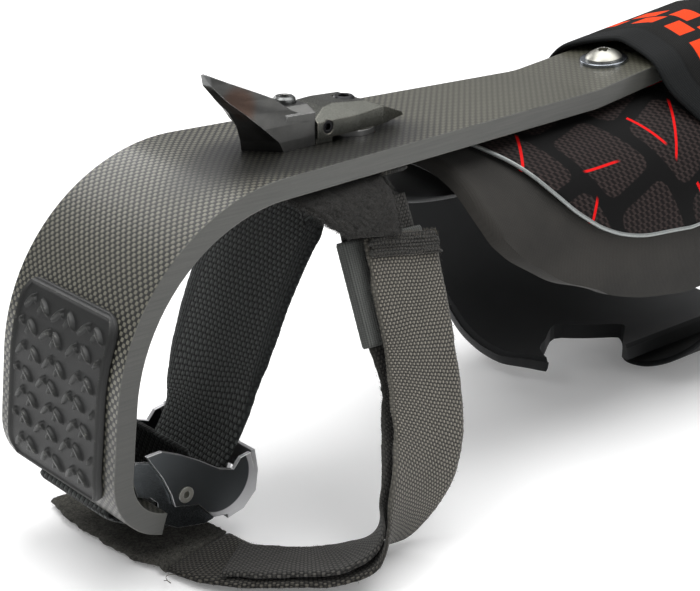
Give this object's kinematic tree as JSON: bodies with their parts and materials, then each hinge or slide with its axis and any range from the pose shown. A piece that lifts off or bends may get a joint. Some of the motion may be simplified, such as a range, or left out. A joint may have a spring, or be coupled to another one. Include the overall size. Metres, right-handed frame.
{
  "type": "tree climbing spur",
  "caption": "Left or right tree climbing spur: bent carbon shank and stirrup with bolted gaff, rubber tread, padded calf cuff, instep strap with lever buckle and ankle strap.",
  "frame": {"origin": "middle of the underside of the whole part's box, as it lies with the straps down and the gaff up", "axes": "+X along the straight shank from the stirrup to the knee, +Y along the foot, +Z away from the leg, the side the gaff stands on"},
  "size_m": [0.3826, 0.1598, 0.1714],
  "materials": {
    "laminate": "satin woven carbon laminate",
    "tread": "moulded diamond tread",
    "gaff_steel": "blackened forged steel",
    "clamp_steel": "bronze-black satin",
    "black_screw": "blackened",
    "bright_screw": "polished",
    "plate_steel": "satin",
    "instep_webbing": "coarse black weave",
    "grey_webbing": "grey-brown weave",
    "loop_fabric": "fuzzy loop pile",
    "elastic": "ribbed elastic",
    "hook_fabric": "rough hook face",
    "buckle_steel": "dark satin",
    "lever_steel": "pale satin",
    "roller_brass": "polished",
    "rivet_steel": "polished",
    "cuff_print": "printed woven-look panels",
    "neoprene": "knitted face on foam",
    "pad_rubber": "soft matt",
    "calf_webbing": "smooth close weave"
  },
  "bodies": {
    "spur": {"shank": "laminate", "tread_pad": "tread", "gaff": "gaff_steel", "gaff_screw": "plate_steel", "gaff_clamp": "clamp_steel", "clamp_screw": "black_screw", "side_lock_screw": "black_screw", "clamp_spacer": "plate_steel", "foot_strap": "instep_webbing", "ankle_loop_ear": "loop_fabric", "ankle_strap_outer": "grey_webbing", "ankle_strap_inner": "grey_webbing", "hook_tail": "hook_fabric", "strap_plate": "plate_steel", "gaff_nuts": "plate_steel", "buckle_frame": "buckle_steel", "roller_pin": "rivet_steel", "buckle_rivets": "rivet_steel", "buckle_anchor_webbing": "instep_webbing", "cuff_shell": "cuff_print", "cuff_liner": "neoprene", "cuff_saddle": "plate_steel", "cuff_screws": "bright_screw", "cuff_washers": "bright_screw", "cuff_tee_nuts": "plate_steel", "shin_pad": "pad_rubber", "calf_strap": "calf_webbing", "calf_strap_tab": "calf_webbing"},
    "lever": {"buckle_lever": "lever_steel"},
    "roller": {"buckle_roller": "roller_brass"},
    "keeper": {"elastic_keeper": "elastic"}
  },
  "joints": [
    {"name": "lever_hinge", "type": "hinge", "parent": "spur", "child": "lever", "pos_m": [-0.1523, 0.01277, 0.02739], "axis": [0, 1, 0], "range_deg": [0, 22]},
    {"name": "roller_spin", "type": "hinge", "parent": "spur", "child": "roller", "pos_m": [-0.1402, 0.01277, 0.01649], "axis": [0, 1, 0], "continuous": true},
    {"name": "keeper_slide", "type": "slide", "parent": "spur", "child": "keeper", "axis": [-0.0346, -0.433, -0.9007], "range_m": [0, 0.015]}
  ]
}
